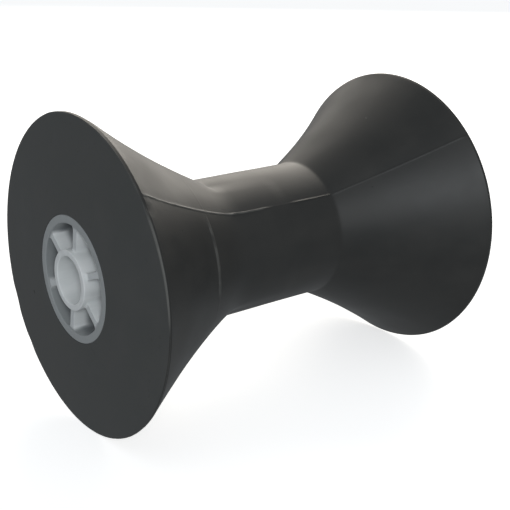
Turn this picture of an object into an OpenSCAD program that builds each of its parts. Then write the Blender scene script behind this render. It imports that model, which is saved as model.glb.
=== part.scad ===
// Trailer bow roller: an hourglass rubber body moulded over a core of two identical nylon halves.
// The origin is the middle of the axle bore, +Y runs along the axle and +Z is up. Millimetres.

/* [Rubber body] */
// Diameter over the two rims
roller_d = 95; // [80:1:120]
// Length between the two rims
rubber_l = 124; // [105:1:170]
// How far each end face rises from the rim to the core
face_rise = 1.9; // [0:0.1:4]
// Thickness of the rubber over the core at the straight waist
waist_cover = 3; // [1.5:0.1:12]
// Length of the straight waist
waist_l = 39.5; // [24:0.5:60]
// How far the flanks bow in, as a share of their rise from waist to rim
flank_bow = 0.2; // [0:0.01:0.4]
// Width of the cylindrical land at each rim
rim_land = 1; // [0.8:0.1:4]
// Rounding of the rim where the land meets the end face
rim_round = 0.4; // [0.2:0.1:0.8]

/* [Core outer tube] */
// Outer diameter of the core
core_d = 37.6; // [34:0.2:46]
// Wall of the outer tube
core_wall = 2.4; // [1.6:0.1:3]
// How far the tube stands out of the rubber round it
core_proud = 0; // [0:0.1:4]
// Depth of the grooves that the rubber keys into
key_depth = 0.8; // [0.3:0.1:1.2]
// Width of each groove
key_w = 4; // [2:0.5:6]
// Grooves in each half
key_count = 3; // [1:1:4]

/* [Core ribs and web] */
// Ribs between the outer tube and the boss
rib_count = 6; // [4:2:8]
// Thickness of a rib
rib_t = 1.8; // [1.2:0.1:3]
// Angle of the first rib above +X, seen from the left end
rib_angle = 20; // [0:1:59]
// How far the ribs' ends lie below the tube's end
rib_recess = 0.3; // [0:0.1:2]
// Thickness of the web that closes the inner end of a half
web_t = 3; // [2.6:0.1:6]

/* [Boss and axle bore] */
// Wall of the boss round the bore
boss_wall = 1.8; // [1.5:0.05:3]
// How far the boss stands out of the outer tube's end
boss_proud = 1.1; // [0.5:0.1:5]
// Diameter of the axle bore
bore_d = 14.2; // [10:0.1:17.5]
// Chamfer at each mouth of the bore
bore_chamfer = 0.5; // [0.2:0.1:1]

/* [Locating pegs] */
// Diameter of a peg
peg_d = 3.2; // [2:0.1:4]
// Length of a peg beyond the joint face
peg_l = 1.6; // [1:0.1:2]
// Clearance all round a peg in its socket
peg_gap = 0.15; // [0.1:0.05:0.3]

/* [Hidden] */

$fn = 96;
flank_steps = 16;
round_steps = 5;
over = 1;

roller_r = roller_d / 2;
core_r = core_d / 2;
waist_r = core_r + waist_cover;
core_in_r = core_r - core_wall;
face_y = rubber_l / 2;
waist_y = waist_l / 2;
land_y = face_y - rim_land;
face_top = face_y + face_rise;
core_end = face_top + core_proud;
rib_end = core_end - rib_recess;
boss_end = core_end + boss_proud;
rib_step = 360 / rib_count;
boss_r = bore_d / 2 + boss_wall;
peg_circle_r = (core_in_r + boss_r) / 2;
key_pitch = face_y / (key_count + 0.5);

rubber_black = [0.10, 0.10, 0.095];
nylon_grey = [0.62, 0.64, 0.65];

// Radius of a flank, t running from 0 at the waist to 1 at the rim.
function flank_r(t) = waist_r + (roller_r - waist_r) * (t - flank_bow * t * (1 - t));

// Half of the outside, from the middle of the waist to the rim, as [radius, distance].
function outside() = concat(
    [for (i = [0 : flank_steps])
        let (t = i / flank_steps)
        [flank_r(t), waist_y + (land_y - waist_y) * t]],
    [for (i = [0 : round_steps])
        let (a = 90 * i / round_steps)
        [roller_r - rim_round * (1 - cos(a)), face_y - rim_round * (1 - sin(a))]]
);

// One keying groove in the outside of the core, its middle at distance m.
function key(m) = [
    [core_r, m - key_w / 2],
    [core_r - key_depth, m - key_w / 2],
    [core_r - key_depth, m + key_w / 2],
    [core_r, m + key_w / 2]
];

// All the grooves of one half, as [radius, distance], from the joint face outwards.
function keys() = [for (i = [1 : key_count], p = key(key_pitch * i)) p];

// A half outline carried over to the other side of the joint face, in reverse order.
function reversed(points) = [for (i = [len(points) - 1 : -1 : 0]) points[i]];
function other_side(points) = [for (p = reversed(points)) [p[0], -p[1]]];

// Turns what is modelled along +Z so that it points along -Y, with +Y of the sketch up.
module lie_down() {
    rotate([90, 0, 0]) children();
}

// Copies its children once for every second pocket, starting at pocket number first.
module every_second_pocket(first) {
    for (i = [first : 2 : rib_count - 1])
        rotate(rib_angle + rib_step * (i + 0.5))
            translate([peg_circle_r, 0, 0])
                children();
}

module rubber_body() {
    inside = concat(other_side(keys()), keys());
    color(rubber_black)
        lie_down()
            rotate_extrude()
                polygon(concat(
                    other_side(outside()),
                    outside(),
                    [[core_r, face_top]],
                    reversed(inside),
                    [[core_r, -face_top]]
                ));
}

module outer_tube() {
    difference() {
        rotate_extrude()
            polygon(concat([[0, 0], [core_r, 0]], keys(), [[core_r, core_end], [0, core_end]]));
        translate([0, 0, web_t])
            cylinder(r = core_in_r, h = core_end);
    }
}

module ribs() {
    for (i = [0 : rib_count - 1])
        rotate(rib_angle + rib_step * i)
            translate([0, -rib_t / 2, 0])
                cube([core_r - core_wall / 2, rib_t, rib_end]);
}

module axle_bore() {
    translate([0, 0, -over])
        cylinder(d = bore_d, h = boss_end + 2 * over);
    translate([0, 0, boss_end - bore_chamfer])
        cylinder(d1 = bore_d, d2 = bore_d + 2 * (bore_chamfer + over), h = bore_chamfer + over);
}

// One half of the core, its joint face on the ground and its outer end up.
module core_half() {
    difference() {
        union() {
            outer_tube();
            ribs();
            cylinder(r = boss_r, h = boss_end);
            every_second_pocket(0)
                translate([0, 0, -peg_l])
                    cylinder(d = peg_d, h = peg_l + web_t / 2);
        }
        axle_bore();
        every_second_pocket(1)
            translate([0, 0, -over])
                cylinder(r = peg_d / 2 + peg_gap, h = over + peg_l + peg_gap);
    }
}

module left_core_half() {
    color(nylon_grey)
        lie_down()
            core_half();
}

// The same moulding, turned half a turn about the line of its first rib.
module right_core_half() {
    color(nylon_grey)
        rotate(a = 180, v = [cos(rib_angle), 0, sin(rib_angle)])
            lie_down()
                core_half();
}

rubber_body();
left_core_half();
right_core_half();
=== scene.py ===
"""Looks of a boat trailer's bow roller: its rubber body, its two nylon core halves and a small studio.

Lengths are metres. +Y runs along the axle from the left end to the right end and +Z is up. An angle round
the axle is measured from +X towards +Z.
"""

import logging
import math
from collections.abc import Iterable, Sequence
from dataclasses import dataclass
from enum import Enum

import bmesh
import bpy
from bmesh.types import BMEdge, BMesh, BMFace, BMVert
from mathutils import Matrix, Vector, noise


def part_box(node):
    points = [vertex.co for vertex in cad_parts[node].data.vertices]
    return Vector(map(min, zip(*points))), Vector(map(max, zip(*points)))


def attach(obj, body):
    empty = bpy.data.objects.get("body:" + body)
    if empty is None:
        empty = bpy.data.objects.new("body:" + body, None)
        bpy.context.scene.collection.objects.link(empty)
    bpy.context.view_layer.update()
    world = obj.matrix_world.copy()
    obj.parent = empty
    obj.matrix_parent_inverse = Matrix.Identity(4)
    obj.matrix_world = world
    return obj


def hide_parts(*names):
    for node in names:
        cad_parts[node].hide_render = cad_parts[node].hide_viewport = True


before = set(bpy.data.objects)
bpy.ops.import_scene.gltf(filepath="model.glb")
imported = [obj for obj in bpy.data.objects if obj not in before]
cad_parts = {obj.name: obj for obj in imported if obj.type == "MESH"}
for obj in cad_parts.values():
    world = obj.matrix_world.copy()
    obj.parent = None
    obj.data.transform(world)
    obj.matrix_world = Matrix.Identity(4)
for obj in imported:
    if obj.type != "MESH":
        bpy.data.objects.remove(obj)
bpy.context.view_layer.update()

MM = 0.001
BODY = "root"
TURN = 2 * math.pi
AXLE = Vector((0, 1, 0))
ORIGIN = Vector((0, 0, 0))
SEAM_ANGLE = 42.2
WITNESS_AT = -33.0 * MM
log = logging.getLogger("bow_roller")

Colour = tuple[float, float, float]


# ---------------------------------------------------------------- shader graphs


class Signal:
    """A value on a node's output socket, used in Python arithmetic."""

    def __init__(self, graph: "Graph", socket: bpy.types.NodeSocket) -> None:
        """Keeps the graph that new nodes go into and the socket that holds the value."""
        self.graph = graph
        self.socket = socket

    def _with(self, operation: str, *operands: "Signal | float") -> "Signal":
        """Returns a Math node's result for the operands, in order."""
        inputs = dict(enumerate(operands))
        return self.graph.add("ShaderNodeMath", {"operation": operation}, inputs)

    def __add__(self, other: "Signal | float") -> "Signal":
        """Returns self + other."""
        return self._with("ADD", self, other)

    def __radd__(self, other: float) -> "Signal":
        """Returns other + self."""
        return self._with("ADD", other, self)

    def __sub__(self, other: "Signal | float") -> "Signal":
        """Returns self - other."""
        return self._with("SUBTRACT", self, other)

    def __rsub__(self, other: float) -> "Signal":
        """Returns other - self."""
        return self._with("SUBTRACT", other, self)

    def __mul__(self, other: "Signal | float") -> "Signal":
        """Returns self * other."""
        return self._with("MULTIPLY", self, other)

    def __rmul__(self, other: float) -> "Signal":
        """Returns other * self."""
        return self._with("MULTIPLY", other, self)

    def __abs__(self) -> "Signal":
        """Returns the value without its sign."""
        return self._with("ABSOLUTE", self)

    def ramp(self, low: float, high: float) -> "Signal":
        """Returns a smooth step: 0 at low and before, 1 at high and past it.

        Args:
            low: the value that gives 0; may be larger than high, for a falling step.
            high: the value that gives 1.
        """
        falls = low > high
        span = {
            "Value": self,
            "From Min": min(low, high),
            "From Max": max(low, high),
            "To Min": 1.0 if falls else 0.0,
            "To Max": 0.0 if falls else 1.0,
        }
        return self.graph.add("ShaderNodeMapRange", {"interpolation_type": "SMOOTHSTEP"}, span)


class Graph:
    """A material's or the world's node tree, filled by method calls."""

    def __init__(self, tree: bpy.types.NodeTree) -> None:
        """Empties the tree."""
        self.tree = tree
        self.tree.nodes.clear()

    def node(self, kind: str, settings: dict | None = None, inputs: dict | None = None) -> bpy.types.Node:
        """Adds any node.

        Args:
            kind: the node's type, such as ShaderNodeMath.
            settings: the node's own properties, set before its sockets.
            inputs: a number, a colour or a Signal for each socket, by name or by number.

        Returns:
            The new node.
        """
        made = self.tree.nodes.new(kind)
        for name, value in (settings or {}).items():
            setattr(made, name, value)
        for name, value in (inputs or {}).items():
            socket = made.inputs[name]
            if isinstance(value, Signal):
                self.tree.links.new(value.socket, socket)
            else:
                socket.default_value = value
        return made

    def add(
        self, kind: str, settings: dict | None = None, inputs: dict | None = None, output: str | int = 0
    ) -> Signal:
        """Adds any node and returns one of its outputs, by name or by number."""
        return Signal(self, self.node(kind, settings, inputs).outputs[output])

    def place(self) -> Signal:
        """Returns the point on the piece, in metres in the piece's own frame."""
        return self.add("ShaderNodeTexCoord", output="Object")

    def part(self, vector: Signal, axis: str) -> Signal:
        """Returns the vector's X, Y or Z."""
        return self.add("ShaderNodeSeparateXYZ", inputs={"Vector": vector}, output=axis)

    def stretched(self, vector: Signal, scale: Sequence[float]) -> Signal:
        """Returns the vector with each axis multiplied by its own scale."""
        return self.add("ShaderNodeVectorMath", {"operation": "MULTIPLY"}, {0: vector, 1: tuple(scale)})

    def distance(self, vector: Signal, point: Vector) -> Signal:
        """Returns how far the vector is from a fixed point, in metres."""
        inputs = {0: vector, 1: tuple(point)}
        return self.add("ShaderNodeVectorMath", {"operation": "DISTANCE"}, inputs, output="Value")

    def speckle(self, vector: Signal, per_metre: float, detail: float = 2, roughness: float = 0.5) -> Signal:
        """Returns noise from 0 to 1 with that many cells in a metre."""
        inputs = {"Vector": vector, "Scale": per_metre, "Detail": detail, "Roughness": roughness}
        return self.add("ShaderNodeTexNoise", {"noise_dimensions": "3D"}, inputs, output="Fac")

    def tint(self, factor: Signal | float, low: Colour | Signal, high: Colour | Signal) -> Signal:
        """Returns a colour between low and high, mixed by factor."""
        low, high = (c if isinstance(c, Signal) else (*c, 1.0) for c in (low, high))
        inputs = {0: factor, 6: low, 7: high}
        return self.add("ShaderNodeMix", {"data_type": "RGBA"}, inputs, output=2)

    def bump(self, height: Signal, distance: float, strength: float = 1.0) -> Signal:
        """Returns normals shaken by a height from 0 to 1 that stands for that many metres."""
        inputs = {"Height": height, "Distance": distance, "Strength": strength}
        return self.add("ShaderNodeBump", inputs=inputs, output="Normal")

    def surface(self, **inputs: "Signal | float | Colour") -> None:
        """Puts a Principled shader on the material's surface; a word's underscores stand for spaces."""
        named = {name.replace("_", " "): value for name, value in inputs.items()}
        shader = self.add("ShaderNodeBsdfPrincipled", inputs=named)
        self.node("ShaderNodeOutputMaterial", inputs={"Surface": shader})


def new_material(name: str) -> tuple[bpy.types.Material, Graph]:
    """Returns an empty material and its graph."""
    material = bpy.data.materials.new(name)
    material.use_nodes = True
    return material, Graph(material.node_tree)


@dataclass(frozen=True)
class Mark:
    """A small scuff or scratch on the rubber.

    Attributes:
        angle: where it is round the axle, in degrees.
        along: where it is along the axle.
        radius: how far it is from the axle.
        length: half its length.
        width: half its width.
        tilt: how far it is turned from lying along the axle, in degrees.
    """

    angle: float
    along: float
    radius: float
    length: float
    width: float
    tilt: float = 0.0

    def centre(self) -> Vector:
        """Returns the middle of the mark."""
        turn = math.radians(self.angle)
        return Vector((self.radius * math.cos(turn), self.along, self.radius * math.sin(turn)))

    def shape(self, graph: Graph, place: Signal) -> Signal:
        """Returns 1 in the middle of the mark, falling to 0 at its edge."""
        turn, tilt = math.radians(self.angle), math.radians(self.tilt)
        across = Vector((-math.sin(turn), 0, math.cos(turn)))
        heading = AXLE * math.cos(tilt) + across * math.sin(tilt)
        rotation = heading.to_track_quat("X", "Z").to_euler()
        inputs = {
            "Vector": place,
            "Location": tuple(self.centre()),
            "Rotation": tuple(rotation),
            "Scale": (self.length, self.width, self.width),
        }
        inside = graph.add("ShaderNodeMapping", {"vector_type": "TEXTURE"}, inputs)
        return graph.distance(inside, ORIGIN).ramp(1.0, 0.35)


@dataclass(frozen=True)
class MouldedRubber:
    """Black rubber as it comes out of the mould, satin on the outside and duller on the end faces.

    Attributes:
        face_from: how far along the axle the end faces begin.
        rim_from: the radius from which the rims' edges begin.
        black: the clean rubber's colour.
        bloom: its colour where the surface has gone slightly grey.
        face_black: an end face's colour.
        face_bloom: an end face's colour where it has gone grey.
        roughness: the outside's roughness.
        face_roughness: the end faces' roughness.
        shine: how strongly the rubber reflects.
        trim_and_highlight_pale: its colour where flash was cut off, also the colour of the painted highlights
            on the left rim's front edge and along the witness line.
        dark_marks: dents and specks.
        pale_marks: scratches.
    """

    face_from: float = 61.75 * MM
    rim_from: float = 46.95 * MM
    black: Colour = (0.0145, 0.0150, 0.0142)
    bloom: Colour = (0.026, 0.0255, 0.0235)
    face_black: Colour = (0.040, 0.0425, 0.0415)
    face_bloom: Colour = (0.053, 0.0535, 0.0525)
    roughness: float = 0.50
    face_roughness: float = 0.62
    shine: float = 0.45
    trim_and_highlight_pale: Colour = (0.115, 0.115, 0.108)
    dark_marks: tuple[Mark, ...] = (
        Mark(36.5, 31.8 * MM, 28.2 * MM, 0.5 * MM, 0.4 * MM),
        Mark(-5.5, 22.5 * MM, 23.2 * MM, 0.6 * MM, 0.35 * MM, 60),
        Mark(30.5, -48.0 * MM, 38.2 * MM, 0.5 * MM, 0.4 * MM),
        Mark(203.5, -63.1 * MM, 29.8 * MM, 0.9 * MM, 0.6 * MM, 90),
    )
    pale_marks: tuple[Mark, ...] = (
        Mark(32.7, -4.4 * MM, 21.6 * MM, 1.7 * MM, 0.28 * MM, -47),
        Mark(12.2, -4.2 * MM, 21.6 * MM, 0.9 * MM, 0.3 * MM, 5),
        Mark(80.0, 44.0 * MM, 35.6 * MM, 0.9 * MM, 0.4 * MM, 70),
        Mark(58.0, -23.5 * MM, 23.6 * MM, 0.6 * MM, 0.35 * MM, 30),
        Mark(66.0, -15.5 * MM, 21.6 * MM, 0.8 * MM, 0.4 * MM, 10),
    )

    def make(self) -> bpy.types.Material:
        """Returns the material."""
        material, graph = new_material("moulded_rubber")
        place = graph.place()
        on_face = abs(graph.part(place, "Y")).ramp(self.face_from, self.face_from + 0.2 * MM)
        clouds = graph.speckle(place, 48, detail=3, roughness=0.55)
        smears = graph.speckle(graph.stretched(place, (90, 26, 90)), 1, detail=3)
        grain = graph.speckle(place, 1500, detail=2)
        dust = graph.speckle(place, 620, detail=1).ramp(0.66, 0.78)
        dark = self._drawn(graph, place, self.dark_marks)
        pale = self._drawn(graph, place, self.pale_marks)
        # cut holds the trimmed rims' pale edge and the painted highlight on the left rim's front edge.
        cut = self._trimmed_edge_and_painted_highlight(graph, place)
        worn = clouds.ramp(0.35, 0.7) * 0.55 + smears.ramp(0.4, 0.75) * 0.45
        outside = graph.tint(worn, self.black, self.bloom)
        face = graph.tint(worn, self.face_black, self.face_bloom)
        colour = graph.tint(on_face, outside, face)
        colour = graph.tint(dust * 0.25, colour, self.bloom)
        colour = graph.tint(dark * 0.6, colour, self.black)
        # Paler at the scratches, the trimmed rim edges and the seam, with painted highlights on the left
        # rim's front edge and along the witness line.
        colour = graph.tint(pale * 0.5 + cut + self._pale_seam_and_painted_witness_highlight(graph, place), colour, self.trim_and_highlight_pale)
        rough = self.roughness + on_face * (self.face_roughness - self.roughness)
        rough = rough + (clouds - 0.5) * 0.20 + (smears - 0.5) * 0.14 + dark * 0.15
        height = grain * 0.5 + smears * 0.3 - dark
        graph.surface(
            Base_Color=colour,
            Roughness=rough,
            Normal=graph.bump(height, 0.03 * MM, 0.5),
            Specular_IOR_Level=self.shine,
        )
        return material

    def _drawn(self, graph: Graph, place: Signal, marks: tuple[Mark, ...]) -> Signal:
        """Returns 1 in the middle of each mark and 0 away from them all."""
        found = marks[0].shape(graph, place)
        for mark in marks[1:]:
            found = found + mark.shape(graph, place)
        return found

    def _pale_seam_and_painted_witness_highlight(self, graph: Graph, place: Signal) -> Signal:
        """Returns how much paler the seam on the left is, and the painted highlight along the witness line on
        the front.
        """
        turn = math.radians(SEAM_ANGLE)
        along, height = graph.part(place, "Y"), graph.part(place, "Z")
        forward = graph.part(place, "X")
        away = abs(height * math.cos(turn) - forward * math.sin(turn))
        patchy = graph.speckle(place, 240, detail=2).ramp(0.30, 0.60)
        on_front = forward.ramp(0, MM)
        reach = along.ramp(-6 * MM, -9 * MM) * along.ramp(-60.9 * MM, -60.4 * MM) * on_front
        seam = away.ramp(0.42 * MM, 0.20 * MM) * reach
        # The witness line's paler colour on the front is a painted highlight where light catches the raised
        # ring.
        ring = abs(along - WITNESS_AT).ramp(0.95 * MM, 0.55 * MM)
        ring = ring * height.ramp(-6 * MM, 0) * height.ramp(18.5 * MM, 15 * MM) * on_front
        return seam * (patchy * 0.40 + 0.25) + ring * (patchy * 0.40 + 0.10)

    def _trimmed_edge_and_painted_highlight(self, graph: Graph, place: Signal) -> Signal:
        """Returns how much the rims' edges are paler than the rest: a patchy pale trimmed edge all round, and
        a painted highlight on the left rim's front edge.
        """
        radius = graph.distance(graph.stretched(place, (1, 0, 1)), ORIGIN)
        along, height = graph.part(place, "Y"), graph.part(place, "Z")
        outermost = radius.ramp(self.rim_from, self.rim_from + 0.15 * MM)
        edge = outermost * abs(along).ramp(61.45 * MM, 61.6 * MM)
        # front masks the painted highlight, where light catches the left rim's rounded edge on the front.
        front = height.ramp(-3 * MM, 4 * MM) * height.ramp(29 * MM, 25 * MM)
        front = front * graph.part(place, "X").ramp(0, 10 * MM) * along.ramp(-40 * MM, -50 * MM)
        patchy = graph.speckle(place, 130, detail=2).ramp(0.45, 0.65)
        return edge * (front * 0.75 + patchy * 0.25)


@dataclass(frozen=True)
class MouldedNylon:
    """Light grey moulded nylon, a little translucent, so it looks darker where black rubber backs it.

    Attributes:
        backed_from: the distance from the axle at which the rubber behind starts to show.
        backed_to: the distance at which it shows fully.
        grey: the nylon's colour.
        cloud: its colour where the flow left it paler.
        backed: its colour where the rubber is right behind it.
        deep: its painted shade deep in the pockets and the bore, where less light reaches them.
        ends: its darker shade on the ribs' and the bosses' ends.
        roughness: the moulding's roughness.
    """

    backed_from: float = 15.4 * MM
    backed_to: float = 16.5 * MM
    grey: Colour = (0.68, 0.70, 0.70)
    cloud: Colour = (0.76, 0.775, 0.775)
    backed: Colour = (0.27, 0.285, 0.29)
    deep: Colour = (0.16, 0.17, 0.18)
    ends: Colour = (0.40, 0.42, 0.43)
    roughness: float = 0.42

    def make(self) -> bpy.types.Material:
        """Returns the material."""
        material, graph = new_material("moulded_nylon")
        place = graph.place()
        flow = graph.speckle(graph.stretched(place, (260, 60, 260)), 1, detail=3)
        grain = graph.speckle(place, 1800, detail=2)
        across = graph.stretched(place, (1, 0, 1))
        radius = graph.distance(across, ORIGIN)
        backing = radius.ramp(self.backed_from, self.backed_to)
        colour = graph.tint(flow.ramp(0.3, 0.7), self.grey, self.cloud)
        colour = graph.tint(self._at_ends(graph, place, radius), colour, self.ends)
        colour = graph.tint(backing, colour, self.backed)
        # The deep colour is painted shade, darker where little light reaches into the pockets and the bore.
        graph.surface(
            Base_Color=graph.tint(self._painted_shade_depth(graph, place, radius), colour, self.deep),
            Roughness=self.roughness + (flow - 0.5) * 0.2,
            Normal=graph.bump(grain * 0.6 + flow * 0.4, 0.02 * MM, 0.4),
            Subsurface_Weight=0.3,
            Subsurface_Radius=(2.0, 1.95, 1.9),
            Subsurface_Scale=MM,
        )
        return material

    def _at_ends(self, graph: Graph, place: Signal, radius: Signal) -> Signal:
        """Returns how much of the ends' shade shows, which is on the ribs' and the bosses' ends."""
        along = abs(graph.part(place, "Y"))
        level = along.ramp(63.45 * MM, 63.55 * MM) * along.ramp(63.8 * MM, 63.7 * MM)
        ribs = level * radius.ramp(9.2 * MM, 10 * MM)
        return ribs * 0.75 + along.ramp(64.85 * MM, 64.98 * MM) * 0.35

    def _painted_shade_depth(self, graph: Graph, place: Signal, radius: Signal) -> Signal:
        """Returns the painted shade's strength: 0 near the outside and 1 deep in the pockets and the bore."""
        along = abs(graph.part(place, "Y"))
        in_bore = radius.ramp(8.0 * MM, 7.5 * MM)
        at_ring = radius.ramp(15.4 * MM, 16.0 * MM)
        # Painted shade: the bore, the pockets and the ring's inner wall darken with depth.
        bore = along.ramp(56.5 * MM, 54.5 * MM) * 0.7
        pocket = along.ramp(60.4 * MM, 57.8 * MM) * 0.75
        ring = along.ramp(62.6 * MM, 60.0 * MM) * 0.7
        return in_bore * bore + (1 - in_bore) * ((1 - at_ring) * pocket + at_ring * ring)


# ---------------------------------------------------------------- shared shaping


def arc(
    centre: tuple[float, float], radius: float, start: float, end: float, steps: int
) -> list[tuple[float, float]]:
    """Returns points on a round corner of an outline.

    Args:
        centre: the arc's centre, as (distance from the axle, distance along it).
        radius: the arc's radius.
        start: its first angle in degrees, 0 pointing away from the axle and 90 along it.
        end: its last angle.
        steps: how many straight pieces it gets.
    """
    angles = (math.radians(start + (end - start) * i / steps) for i in range(steps + 1))
    return [(centre[0] + radius * math.cos(a), centre[1] + radius * math.sin(a)) for a in angles]


def set_sharp_edges(bm: BMesh, limit: float = 38) -> None:
    """Shades every face smooth, but keeps edges that bend more than limit degrees crisp."""
    for face in bm.faces:
        face.smooth = True
    for edge in bm.edges:
        edge.smooth = edge.calc_face_angle(0) < math.radians(limit)


def finished(bm: BMesh, name: str, node: str, material: bpy.types.Material) -> bpy.types.Object:
    """Turns a bmesh into a piece of the roller that stands for a node.

    Args:
        bm: the shape, in place in the frame; it is freed.
        name: the piece's name.
        node: the CAD node that the piece stands for.
        material: the piece's material.

    Returns:
        The piece, riding on the roller's body.
    """
    bmesh.ops.remove_doubles(bm, verts=bm.verts[:], dist=0.001 * MM)
    bmesh.ops.recalc_face_normals(bm, faces=bm.faces[:])
    set_sharp_edges(bm)
    mesh = bpy.data.meshes.new(name)
    bm.to_mesh(mesh)
    open_edges = sum(1 for e in bm.edges if not e.is_manifold)
    bm.free()
    mesh.materials.append(material)
    piece = bpy.data.objects.new(name, mesh)
    bpy.context.scene.collection.objects.link(piece)
    weighted = piece.modifiers.new("flat_faces", "WEIGHTED_NORMAL")
    weighted.keep_sharp = True
    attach(piece, BODY)
    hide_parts(node)
    log.info("%s: %d faces, %d open edges", name, len(mesh.polygons), open_edges)
    return piece


# ---------------------------------------------------------------- rubber body


def smooth(share: float) -> float:
    """Returns an eased step that runs from 0 at 0 to 1 at 1."""
    held = min(1.0, max(0.0, share))
    return held * held * (3 - 2 * held)


@dataclass
class PartingLine:
    """The seam that the mould's two halves leave along the rubber, with its trimmed flash.

    Attributes:
        angle: the parting plane's angle round the axle, in degrees.
        half_width: half the flash's width where it meets the rubber.
        flank_height: how far the flash stands out on the left flank.
        waist_height: how far it stands out on the left part of the waist.
        right_height: how far it stands out on the right part of the waist.
        trimmed_from: where along the axle the trimmed stretch begins.
        trimmed_to: where it ends.
        swell: how far the rubber swells towards the seam.
        swell_reach: how far from the seam the swelling dies away.
    """

    angle: float = SEAM_ANGLE
    half_width: float = 0.45 * MM
    flank_height: float = 0.20 * MM
    waist_height: float = 0.50 * MM
    right_height: float = 0.30 * MM
    trimmed_from: float = -6.7 * MM
    trimmed_to: float = 4.8 * MM
    swell: float = 0.10 * MM
    swell_reach: float = 3.0 * MM

    def normal(self) -> Vector:
        """Returns the parting plane's normal."""
        turn = math.radians(self.angle)
        return Vector((-math.sin(turn), 0, math.cos(turn)))

    def height_at(self, along: float, waist_reach: float) -> float:
        """Returns the flash's height at a place along the axle."""
        ragged = 0.85 + 0.6 * noise.noise(Vector((along / (2.3 * MM), 0.37, 4.1)))
        if along < -waist_reach:
            return self.flank_height * ragged
        if along < self.trimmed_from:
            return self.waist_height * ragged
        if along < self.trimmed_to:
            return 0.06 * self.right_height * ragged
        if along < waist_reach:
            return self.right_height * ragged
        return 0.3 * self.right_height * ragged

    def lift(self, point: Vector, waist_reach: float) -> float:
        """Returns how far the flash and the swelling lift a point of the skin."""
        away = abs(point.dot(self.normal()))
        ridge = max(0.0, 1 - away / self.half_width)
        swelling = self.swell * math.exp(-away / self.swell_reach)
        return ridge * self.height_at(point.y, waist_reach) + swelling


@dataclass
class WitnessLine:
    """The fine raised ring on the left flank, clear on the front and faint elsewhere."""

    along: float = WITNESS_AT
    half_width: float = 0.7 * MM
    height: float = 0.30 * MM
    clear_from: float = -6.0
    clear_to: float = 32.0

    def lift(self, point: Vector) -> float:
        """Returns how far the ring lifts a point of the skin."""
        away = abs(point.y - self.along)
        if away > self.half_width:
            return 0.0
        turn = math.degrees(math.atan2(point.z, point.x))
        outside = max(self.clear_from - turn, turn - self.clear_to, 0.0)
        shown = max(0.12, 1 - outside / 8)
        ragged = 0.8 + 0.7 * noise.noise(Vector((turn / 3, 1.7, 8.3)))
        return self.height * shown * ragged * (1 - away / self.half_width)


@dataclass
class OutOfRound:
    """How far a soft flank has sagged out of round, most at its rim.

    Attributes:
        angle: where the flank stands out most, in degrees round the axle; it does so on the far side too.
        amount: how far it stands out there, and how far it falls in a quarter turn away.
    """

    angle: float
    amount: float

    def lift(self, turn: float, share: float) -> float:
        """Returns how far a point moves out, share running from 0 at the waist to 1 at the rim."""
        return self.amount * share * share * math.cos(2 * math.radians(turn - self.angle))


@dataclass
class RimNick:
    """A place where the left rim was trimmed too deep."""

    angle: float
    half_span: float
    depth: float

    def cut(self, turn: float) -> float:
        """Returns how deep the nick is at an angle round the axle, in degrees."""
        away = abs((turn - self.angle + 180) % 360 - 180) / self.half_span
        return self.depth * max(0.0, 1 - away * away)


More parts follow.
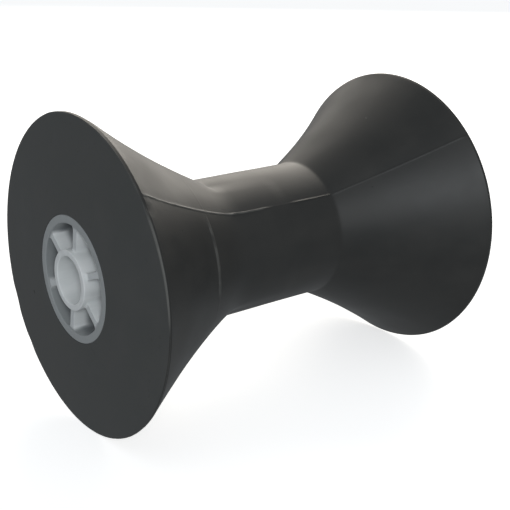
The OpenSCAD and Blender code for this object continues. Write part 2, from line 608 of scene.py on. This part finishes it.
@dataclass
class RubberBody:
    """The hourglass moulding: two flared flanks, a straight waist and end faces that rise to the core."""

    rim_radius: float
    face_top: float
    core_radius: float
    face_rise: float = 1.9 * MM
    waist_cover: float = 3 * MM
    waist_reach: float = 19.75 * MM
    flank_bow: float = 0.2
    rim_land: float = 1.0 * MM
    rim_round: float = 0.4 * MM
    lip: float = 0.22 * MM
    soft_junction: float = 2.4 * MM
    soft_from: float = -50.0
    soft_until: float = 78.0
    crisp_junction: float = 0.15 * MM
    bore_edge: float = 0.12 * MM
    key_depth: float = 0.8 * MM
    key_width: float = 4 * MM
    keys: int = 3
    steps: int = 288
    wave: float = 0.12 * MM

    def __post_init__(self) -> None:
        """Works out what follows from the sizes."""
        self.face_reach = self.face_top - self.face_rise
        self.waist_radius = self.core_radius + self.waist_cover
        self.land_radius = self.rim_radius - self.lip
        self.parting = PartingLine()
        self.witness = WitnessLine()
        self.nicks = (
            RimNick(-156.5, 5.0, 0.45 * MM),
            RimNick(-138.0, 4.0, 0.40 * MM),
            RimNick(37.5, 3.0, 0.5 * MM),
            RimNick(71.0, 2.5, 0.25 * MM),
        )
        self.left_sag = OutOfRound(62.0, 0.55 * MM)
        self.right_sag = OutOfRound(-10.0, 0.35 * MM)

    def skin_radius(self, along: float, blend: float) -> float:
        """Returns the outside's radius at a place along the axle.

        Args:
            along: the place along the axle.
            blend: how gently the waist runs into the flank.
        """
        reach = self.face_reach - self.rim_land - self.waist_reach
        t = (abs(along) - self.waist_reach) / reach
        rise = self.land_radius - self.waist_radius
        flank = self.waist_radius + rise * (t - self.flank_bow * t * (1 - t))
        return (flank + self.waist_radius + math.hypot(flank - self.waist_radius, blend)) / 2

    def softening(self, along: float, turn: float) -> float:
        """Returns how far the left junction is filled in, which it is only on the front."""
        if along > 0:
            return 0.0
        shown = smooth((self.soft_until - turn) / 15) * smooth((turn - self.soft_from) / 15)
        soft, crisp = (self.skin_radius(along, blend) for blend in (self.soft_junction, self.crisp_junction))
        return shown * (soft - crisp)

    def stations(self) -> list[float]:
        """Returns the places along the axle that get a ring of vertices, closer at the junctions."""
        land = self.face_reach - self.rim_land
        close = 4 * MM
        out = [self.waist_reach + close + (land - self.waist_reach - close) * i / 26 for i in range(27)]
        turn = [self.waist_reach - close + 2 * close * i / 16 for i in range(16)]
        waist = [(self.waist_reach - close) * i / 9 for i in range(9)]
        half = waist + turn + out
        return [-y for y in reversed(half[1:])] + half

    def rim(self) -> list[tuple[float, float]]:
        """Returns the right rim's outline, from the land to the end face."""
        top = self.rim_radius - self.rim_round
        land = self.face_reach - self.rim_land
        root = self.face_reach - 1.8 * self.rim_round
        return [(self.land_radius, land + 0.1 * MM), (self.land_radius, root)] + arc(
            (top, self.face_reach - self.rim_round), self.rim_round, 0, 90, 5
        )

    def face_rings(self) -> list[tuple[float, float]]:
        """Returns the end face's outline, rising from the rim to the core."""
        outer = self.rim_radius - self.rim_round
        inner = self.core_radius + self.bore_edge
        shares = [0.03] + [i / 9 for i in range(1, 10)]
        rings = [(outer + (inner - outer) * s, self.face_reach + self.face_rise * s) for s in shares]
        return rings + [(self.core_radius, self.face_top - self.bore_edge)]

    def bore_wall(self) -> list[tuple[float, float]]:
        """Returns the inside's outline from the right face to the left, with the grooves' ribs."""
        pitch = self.face_reach / (self.keys + 0.5)
        middles = [pitch * k for k in range(-self.keys, self.keys + 1) if k]
        wall: list[tuple[float, float]] = []
        for middle in reversed(middles):
            wall += [
                (self.core_radius, middle + self.key_width / 2),
                (self.core_radius - self.key_depth, middle + self.key_width / 2),
                (self.core_radius - self.key_depth, middle - self.key_width / 2),
                (self.core_radius, middle - self.key_width / 2),
            ]
        return wall

    def outline(self) -> list[tuple[float, float]]:
        """Returns the closed half section as (radius, distance along the axle)."""
        end = self.rim() + self.face_rings()
        left = [(r, -y) for r, y in reversed(end)]
        skin = [(self.skin_radius(y, self.crisp_junction), y) for y in self.stations()]
        return left + skin + end + self.bore_wall()

    def _spun(self) -> BMesh:
        """Returns the closed body of revolution."""
        bm = bmesh.new()
        ring = [bm.verts.new((r, y, 0)) for r, y in self.outline()]
        edges = [bm.edges.new((a, b)) for a, b in zip(ring, ring[1:] + ring[:1])]
        bmesh.ops.spin(
            bm, geom=ring + edges, cent=ORIGIN, axis=AXLE, angle=TURN, steps=self.steps, use_merge=True
        )
        bmesh.ops.remove_doubles(bm, verts=bm.verts[:], dist=0.001 * MM)
        return bm

    def _cut(self, bm: BMesh, point: Vector, normal: Vector) -> None:
        """Cuts a line of edges across the skin where a plane meets it."""
        skin = [f for f in bm.faces if self._on_skin(f.calc_center_median())]
        parts = skin + list({e for f in skin for e in f.edges}) + list({v for f in skin for v in f.verts})
        bmesh.ops.bisect_plane(bm, geom=parts, dist=0.0001 * MM, plane_co=point, plane_no=normal)

    def _on_skin(self, point: Vector) -> bool:
        """Returns whether a point is on the outside between the two faces, rims included."""
        away = math.hypot(point.x, point.z)
        return away > self.core_radius + MM and abs(point.y) < self.face_reach - 0.5 * self.rim_round

    def _shape(self, bm: BMesh) -> None:
        """Raises the seam and the ring, nicks the left rim and gives the skin its slight waves."""
        for vert in bm.verts:
            away = math.hypot(vert.co.x, vert.co.z)
            if away < self.core_radius + MM:
                continue
            outward = Vector((vert.co.x, 0, vert.co.z)) / away
            turn = math.degrees(math.atan2(vert.co.z, vert.co.x))
            share = max(0.0, (abs(vert.co.y) - self.waist_reach) / (self.face_reach - self.waist_reach))
            sag = self.left_sag if vert.co.y < 0 else self.right_sag
            lift = sag.lift(turn, min(1.0, share)) * away / self.rim_radius
            if self._on_skin(vert.co):
                at_rim = abs(vert.co.y) > self.face_reach - self.rim_land - 0.05 * MM
                wave = noise.fractal(vert.co / (26 * MM), 1.0, 2.0, 2) - 0.35
                lift += 0.0 if at_rim else self.wave * wave
                lift += self.softening(vert.co.y, turn)
                lift += 0.0 if at_rim else self.parting.lift(vert.co, self.waist_reach)
                lift += 0.0 if at_rim else self.witness.lift(vert.co)
            if vert.co.y < 0 and away > self.land_radius - 0.5 * MM:
                lift -= sum(n.cut(turn) for n in self.nicks)
                lift -= 0.06 * MM * abs(noise.noise(Vector((turn / 4, 3.3, 0.9))))
            vert.co += outward * min(lift, self.rim_radius - away)

    def build(self, finish: MouldedRubber) -> bpy.types.Object:
        """Returns the finished rubber body."""
        bm = self._spun()
        normal = self.parting.normal()
        for share in (-1, -0.5, 0, 0.5, 1):
            self._cut(bm, normal * (share * self.parting.half_width), normal)
        for share in (-1, -0.4, 0, 0.4, 1):
            self._cut(bm, AXLE * (self.witness.along + share * self.witness.half_width), AXLE)
        self._shape(bm)
        return finished(bm, "rubber_body_moulding", "rubber_body", finish.make())


# ---------------------------------------------------------------- nylon core


class Side(Enum):
    """Which end of the roller a core half faces."""

    LEFT = "left"
    RIGHT = "right"


@dataclass
class CoreHalf:
    """One nylon half of the core: an outer tube, six ribs, a boss with the axle bore, a web and pegs.

    It is drawn lying on its joint face, with the outer end up, and is then laid along the axle.
    """

    side: Side
    core_radius: float
    boss_end: float
    bore_radius: float = 7.1 * MM
    boss_wall: float = 1.8 * MM
    boss_proud: float = 1.1 * MM
    core_wall: float = 2.4 * MM
    rib_count: int = 6
    rib_thickness: float = 1.8 * MM
    rib_angle: float = 20.0
    rib_recess: float = 0.3 * MM
    web: float = 3 * MM
    outer_fillet: float = 1.3 * MM
    inner_fillet: float = 0.8 * MM
    edge_round: float = 0.25 * MM
    rib_round: float = 0.22 * MM
    bore_chamfer: float = 0.2 * MM
    draft: float = 0.93
    key_depth: float = 0.8 * MM
    key_width: float = 4 * MM
    keys: int = 3
    peg_radius: float = 1.6 * MM
    peg_length: float = 1.6 * MM
    peg_gap: float = 0.15 * MM
    rim_reach: float = 62 * MM

    def __post_init__(self) -> None:
        """Works out what follows from the sizes."""
        self.boss_radius = self.bore_radius + self.boss_wall
        self.ring_radius = self.core_radius - self.core_wall
        self.ring_end = self.boss_end - self.boss_proud
        self.rib_end = self.ring_end - self.rib_recess
        self.step = TURN / self.rib_count
        self.peg_circle = (self.ring_radius + self.boss_radius) / 2

    # Outlines of the pockets

    def _spin(self, bm: BMesh, vert: BMVert, centre: Vector, angle: float, steps: int) -> BMVert:
        """Draws an arc from a vertex about an upright line and returns the arc's last vertex."""
        made = bmesh.ops.spin(
            bm, geom=[vert], cent=centre, axis=(0, 0, 1), angle=angle, steps=steps, use_merge=False
        )
        return next(g for g in made["geom_last"] if isinstance(g, BMVert))

    def _line(self, bm: BMesh, vert: BMVert, to: Vector) -> BMVert:
        """Draws a straight edge from a vertex and returns its other end."""
        made = bmesh.ops.extrude_vert_indiv(bm, verts=[vert])
        made["verts"][0].co = to
        return made["verts"][0]

    def _pocket(self, bm: BMesh, number: int) -> None:
        """Draws one pocket's outline, with its four round corners and the ribs' ends beside it."""
        first = math.radians(self.rib_angle) + self.step * number
        half = self.rib_thickness / 2
        level = Vector((0, 0, self.rib_end))

        def spot(rib: float, along: float, across: float) -> Vector:
            """Returns a point given along a rib and across it."""
            turn = Matrix.Rotation(rib, 3, "Z")
            return turn @ Vector((along, across, 0)) + level

        in_away = self.boss_radius + self.inner_fillet
        out_away = self.ring_radius - self.outer_fillet
        in_lean = math.asin((half + self.inner_fillet) / in_away)
        out_lean = math.asin((half + self.outer_fillet) / out_away)
        in_along = in_away * math.cos(in_lean)
        out_along = out_away * math.cos(out_lean)
        quarter = math.pi / 2
        last = first + self.step

        start = bm.verts.new(spot(first + in_lean, self.boss_radius, 0))
        v = self._spin(bm, start, spot(first, in_along, half + self.inner_fillet), quarter - in_lean, 4)
        v = self._line(bm, v, spot(first, out_along, half))
        v = self._spin(bm, v, spot(first, out_along, half + self.outer_fillet), quarter + out_lean, 6)
        v = self._spin(bm, v, level, self.step - 2 * out_lean, 12)
        self._spin(bm, v, level, 2 * out_lean, 4)
        v = self._spin(bm, v, spot(last, out_along, -half - self.outer_fillet), quarter + out_lean, 6)
        v = self._line(bm, v, spot(last, in_along, -half))
        v = self._spin(bm, v, spot(last, in_along, -half - self.inner_fillet), quarter - in_lean, 4)
        self._spin(bm, v, level, 2 * in_lean, 4)
        self._spin(bm, v, level, 2 * in_lean - self.step, 12)

    # Shapes drawn out of the outlines

    def _faces_by_place(self, bm: BMesh) -> tuple[list[BMFace], list[BMFace], list[BMFace]]:
        """Returns the pockets' faces, the ribs' faces and the discs inside the two round loops."""
        pockets, ribs, discs = [], [], []
        for face in bm.faces:
            centre = face.calc_center_median()
            if math.hypot(centre.x, centre.y) < 0.2 * self.boss_radius:
                discs.append(face)
                continue
            turn = (math.atan2(centre.y, centre.x) - math.radians(self.rib_angle)) % self.step
            nearest = min(turn, self.step - turn)
            (ribs if nearest < self.step / 4 else pockets).append(face)
        return pockets, ribs, sorted(discs, key=BMFace.calc_area)

    def _sink(self, bm: BMesh, face: BMFace) -> None:
        """Sinks one pocket down to the web, a little narrower at its floor."""
        middle = face.calc_center_median()
        depth = self.rib_end - self.web
        floor_round = 0.8 * MM
        stages = [0.25, 0.5, 0.75, 1 - floor_round / depth, 1.0]
        scales = [1 - (1 - self.draft) * s for s in stages[:-1]]
        scales.append(scales[-1] - 0.10)
        width = 1.0
        height = 0.0
        for stage, scale in zip(stages, scales):
            made = bmesh.ops.extrude_face_region(bm, geom=[face])["geom"]
            bmesh.ops.delete(bm, geom=[face], context="FACES_ONLY")
            verts = [g for g in made if isinstance(g, BMVert)]
            face = next(g for g in made if isinstance(g, BMFace))
            ratio = scale / width
            bmesh.ops.translate(bm, verts=verts, vec=(0, 0, height - stage * depth))
            about = Matrix.Translation(-Vector((middle.x, middle.y, 0)))
            bmesh.ops.scale(bm, verts=verts, vec=(ratio, ratio, 1), space=about)
            width, height = scale, stage * depth

    def _draw_loop(self, bm: BMesh, edges: list[BMEdge], path: Iterable[tuple[float, float]]) -> list[BMEdge]:
        """Pulls a round loop of edges along a path of (radius, height) and returns the last loop."""
        for radius, height in path:
            made = bmesh.ops.extrude_edge_only(bm, edges=edges)["geom"]
            verts = [g for g in made if isinstance(g, BMVert)]
            edges = [g for g in made if isinstance(g, BMEdge) and all(v in verts for v in g.verts)]
            for vert in verts:
                flat = Vector((vert.co.x, vert.co.y, 0)).normalized() * radius
                vert.co = (flat.x, flat.y, height)
        return edges

    def _ring_path(self) -> list[tuple[float, float]]:
        """Returns the way from the ribs up over the ring and down the outside to the joint face."""
        r = self.edge_round
        top = self.ring_end
        inner = arc((self.ring_radius + r, top - r), r, 180, 90, 3)
        outer = arc((self.core_radius - r, top - r), r, 90, 0, 3)
        pitch = self.rim_reach / (self.keys + 0.5)
        outside: list[tuple[float, float]] = []
        for k in range(self.keys, 0, -1):
            high, low = pitch * k + self.key_width / 2, pitch * k - self.key_width / 2
            deep = self.core_radius - self.key_depth
            outside += [(self.core_radius, high), (deep, high), (deep, low), (self.core_radius, low)]
        return inner + outer + outside + [(self.core_radius, 0.0)]

    def _boss_path(self) -> list[tuple[float, float]]:
        """Returns the way from the ribs up over the boss and down the bore to the joint face."""
        r = self.edge_round
        top = self.boss_end
        outer = arc((self.boss_radius - r, top - r), r, 0, 90, 3)
        mouth = [(self.bore_radius + self.bore_chamfer, top), (self.bore_radius, top - self.bore_chamfer)]
        deep = [(self.bore_radius, top * share) for share in (0.8, 0.5, 0.2, 0.0)]
        return outer + mouth + deep

    def _joint_face(self, bm: BMesh, loops: list[BMEdge]) -> None:
        """Closes the joint face between the bore and the outside, with its pegs and sockets."""
        circles: list[tuple[list[BMEdge], bool]] = []
        for number in range(self.rib_count):
            turn = math.radians(self.rib_angle) + self.step * (number + 0.5)
            centre = Vector((math.cos(turn), math.sin(turn), 0)) * self.peg_circle
            is_peg = number % 2 == 0
            radius = self.peg_radius if is_peg else self.peg_radius + self.peg_gap
            made = bmesh.ops.create_circle(
                bm, cap_ends=False, radius=radius, segments=24, matrix=Matrix.Translation(centre)
            )
            edges = list({e for v in made["verts"] for e in v.link_edges})
            circles.append((edges, is_peg))
        rims = [e for edges, _ in circles for e in edges]
        bmesh.ops.triangle_fill(bm, use_beauty=True, use_dissolve=False, edges=loops + rims)
        for edges, is_peg in circles:
            face = bmesh.ops.contextual_create(bm, geom=edges)["faces"][0]
            depth = -self.peg_length if is_peg else self.peg_length + self.peg_gap
            made = bmesh.ops.extrude_face_region(bm, geom=[face])["geom"]
            bmesh.ops.delete(bm, geom=[face], context="FACES_ONLY")
            verts = [g for g in made if isinstance(g, BMVert)]
            bmesh.ops.translate(bm, verts=verts, vec=(0, 0, depth))

    def _soften_ribs(self, bm: BMesh, ribs: list[BMFace]) -> None:
        """Rounds the long top edges of the ribs."""
        edges = []
        for face in ribs:
            for edge in face.edges:
                aways = [math.hypot(v.co.x, v.co.y) for v in edge.verts]
                on_ring = all(abs(a - self.ring_radius) < 0.01 * MM for a in aways)
                on_boss = all(abs(a - self.boss_radius) < 0.01 * MM for a in aways)
                if not (on_ring or on_boss):
                    edges.append(edge)
        bmesh.ops.bevel(
            bm,
            geom=edges,
            offset=self.rib_round,
            offset_type="OFFSET",
            segments=2,
            profile=0.5,
            affect="EDGES",
            clamp_overlap=True,
            material=-1,
        )

    def _place(self) -> Matrix:
        """Returns the turn that lays the half along the axle, at its own end."""
        lie_down = Matrix.Rotation(math.pi / 2, 4, "X")
        if self.side is Side.LEFT:
            return lie_down
        rib = math.radians(self.rib_angle)
        return Matrix.Rotation(math.pi, 4, Vector((math.cos(rib), 0, math.sin(rib)))) @ lie_down

    def build(self, material: bpy.types.Material) -> bpy.types.Object:
        """Returns the finished half."""
        bm = bmesh.new()
        for number in range(self.rib_count):
            self._pocket(bm, number)
        bmesh.ops.remove_doubles(bm, verts=bm.verts[:], dist=0.005 * MM)
        bmesh.ops.edgenet_fill(bm, edges=bm.edges[:])
        pockets, ribs, discs = self._faces_by_place(bm)
        log.info("%s core half: %d pockets, %d ribs", self.side.value, len(pockets), len(ribs))
        boss_loop, ring_loop = (list(disc.edges) for disc in discs)
        bmesh.ops.delete(bm, geom=discs, context="FACES_ONLY")
        outside = self._draw_loop(bm, ring_loop, self._ring_path())
        bore = self._draw_loop(bm, boss_loop, self._boss_path())
        self._joint_face(bm, outside + bore)
        for face in pockets:
            self._sink(bm, face)
        self._soften_ribs(bm, ribs)
        bmesh.ops.transform(bm, matrix=self._place(), verts=bm.verts[:])
        side = self.side.value
        return finished(bm, f"{side}_core_moulding", f"{side}_core_half", material)


# ---------------------------------------------------------------- studio


@dataclass
class Softbox:
    """A square area light that points at a place on the roller."""

    name: str
    place: Vector
    width: float
    height: float
    power: float
    colour: Colour

    def build(self, aim: Vector = ORIGIN) -> None:
        """Adds the light to the scene."""
        data = bpy.data.lights.new(self.name, "AREA")
        data.shape = "RECTANGLE"
        data.size, data.size_y = self.width, self.height
        data.energy = self.power
        data.color = self.colour
        lamp = bpy.data.objects.new(self.name, data)
        lamp.location = self.place
        lamp.rotation_mode = "QUATERNION"
        lamp.rotation_quaternion = (aim - self.place).to_track_quat("-Z", "Y")
        bpy.context.scene.collection.objects.link(lamp)


@dataclass
class Studio:
    """The pale floor, the soft lights and the camera.

    Attributes:
        floor_height: the height of the floor.
        rim_radius: the roller's radius, which the camera's distance is measured in.
        azimuth: the camera's angle round the roller, in degrees; 0 looks along +Y.
        elevation: the camera's angle above the horizon.
        distance: from the roller's middle to the camera, in rim radii.
        aim_right: how far right of the middle the camera points, in rim radii.
        aim_up: how far above the middle it points.
        lens: the focal length in millimetres, on a sensor 36 mm wide.
        ambient: the strength of the light from all round.
        backdrop: how bright the backdrop looks to the camera.
    """

    floor_height: float
    rim_radius: float
    azimuth: float = 52.36
    elevation: float = 17.43
    distance: float = 6.715
    aim_right: float = 0.0338
    aim_up: float = -0.1135
    lens: float = 69.87
    ambient: float = 0.40
    backdrop: float = 0.97

    def _axes(self) -> tuple[Vector, Vector, Vector]:
        """Returns the directions back to the camera, to its right and up."""
        a, e = math.radians(self.azimuth), math.radians(self.elevation)
        back = Vector((math.sin(a) * math.cos(e), -math.cos(a) * math.cos(e), math.sin(e)))
        right = Vector((math.cos(a), math.sin(a), 0))
        return back, right, back.cross(right)

    def camera(self) -> None:
        """Adds the camera and makes it the scene's."""
        back, right, up = self._axes()
        data = bpy.data.cameras.new("camera")
        data.sensor_width = 36
        data.lens = self.lens
        data.clip_start, data.clip_end = 0.01, 60
        eye = bpy.data.objects.new("camera", data)
        eye.location = back * (self.distance * self.rim_radius)
        target = (right * self.aim_right + up * self.aim_up) * self.rim_radius
        eye.rotation_mode = "QUATERNION"
        eye.rotation_quaternion = (target - eye.location).to_track_quat("-Z", "Y")
        bpy.context.scene.collection.objects.link(eye)
        bpy.context.scene.camera = eye

    def floor(self) -> None:
        """Adds the pale floor, which doesn't throw its own light back at the roller."""
        bm = bmesh.new()
        bmesh.ops.create_circle(bm, cap_ends=True, radius=30, segments=96)
        bmesh.ops.translate(bm, verts=bm.verts[:], vec=(0, 0, self.floor_height))
        mesh = bpy.data.meshes.new("studio_floor")
        bm.to_mesh(mesh)
        bm.free()
        material, graph = new_material("studio_floor")
        graph.surface(
            Base_Color=(0.82, 0.82, 0.82, 1.0),
            Roughness=0.9,
            Specular_IOR_Level=0.1,
            Emission_Color=(1.0, 1.0, 1.0, 1.0),
            Emission_Strength=0.62,
        )
        mesh.materials.append(material)
        floor = bpy.data.objects.new("studio_floor", mesh)
        floor.visible_diffuse = False
        floor.visible_glossy = False
        bpy.context.scene.collection.objects.link(floor)

    def world(self) -> None:
        """Lights the roller dimly from all round, and shows a white backdrop past the floor."""
        world = bpy.data.worlds.new("studio")
        world.use_nodes = True
        bpy.context.scene.world = world
        graph = Graph(world.node_tree)
        to_camera = graph.add("ShaderNodeLightPath", output="Is Camera Ray")
        kind = "ShaderNodeBackground"
        dim = graph.add(kind, inputs={"Color": (0.93, 0.97, 1.0, 1), "Strength": self.ambient})
        white = graph.add(kind, inputs={"Color": (1, 1, 1, 1), "Strength": self.backdrop})
        mixed = graph.add("ShaderNodeMixShader", inputs={0: to_camera, 1: dim, 2: white})
        graph.node("ShaderNodeOutputWorld", inputs={"Surface": mixed})

    def lights(self) -> None:
        """Adds the big warm light behind the roller and the small cool one beside the camera."""
        back, right, _ = self._axes()
        level_back = Vector((back.x, back.y, 0)).normalized()
        up = Vector((0, 0, 1))
        behind = up * 0.66 - level_back * 1.1 + right * 0.22
        beside = level_back * 1.4 + right * 0.16 + up * 0.6
        Softbox("window_behind", behind, 1.2, 1.1, 13, (1.0, 0.93, 0.83)).build()
        Softbox("beside_camera", beside, 0.4, 0.4, 8.6, (0.93, 0.97, 1.0)).build()

    def build(self) -> None:
        """Adds everything."""
        bpy.context.scene.view_settings.view_transform = "Standard"
        self.camera()
        self.floor()
        self.world()
        self.lights()


# ---------------------------------------------------------------- the whole


def main() -> None:
    """Builds the roller and the studio."""
    logging.basicConfig(level=logging.INFO, format="%(name)s: %(message)s")
    _, rubber_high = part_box("rubber_body")
    core_low, core_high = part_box("left_core_half")
    Studio(floor_height=-rubber_high.x, rim_radius=rubber_high.x).build()
    body = RubberBody(rim_radius=rubber_high.x, face_top=rubber_high.y, core_radius=core_high.x)
    body.build(MouldedRubber())
    nylon = MouldedNylon().make()
    for side in Side:
        CoreHalf(side, core_radius=core_high.x, boss_end=-core_low.y).build(nylon)


if __name__ == "__main__":
    main()
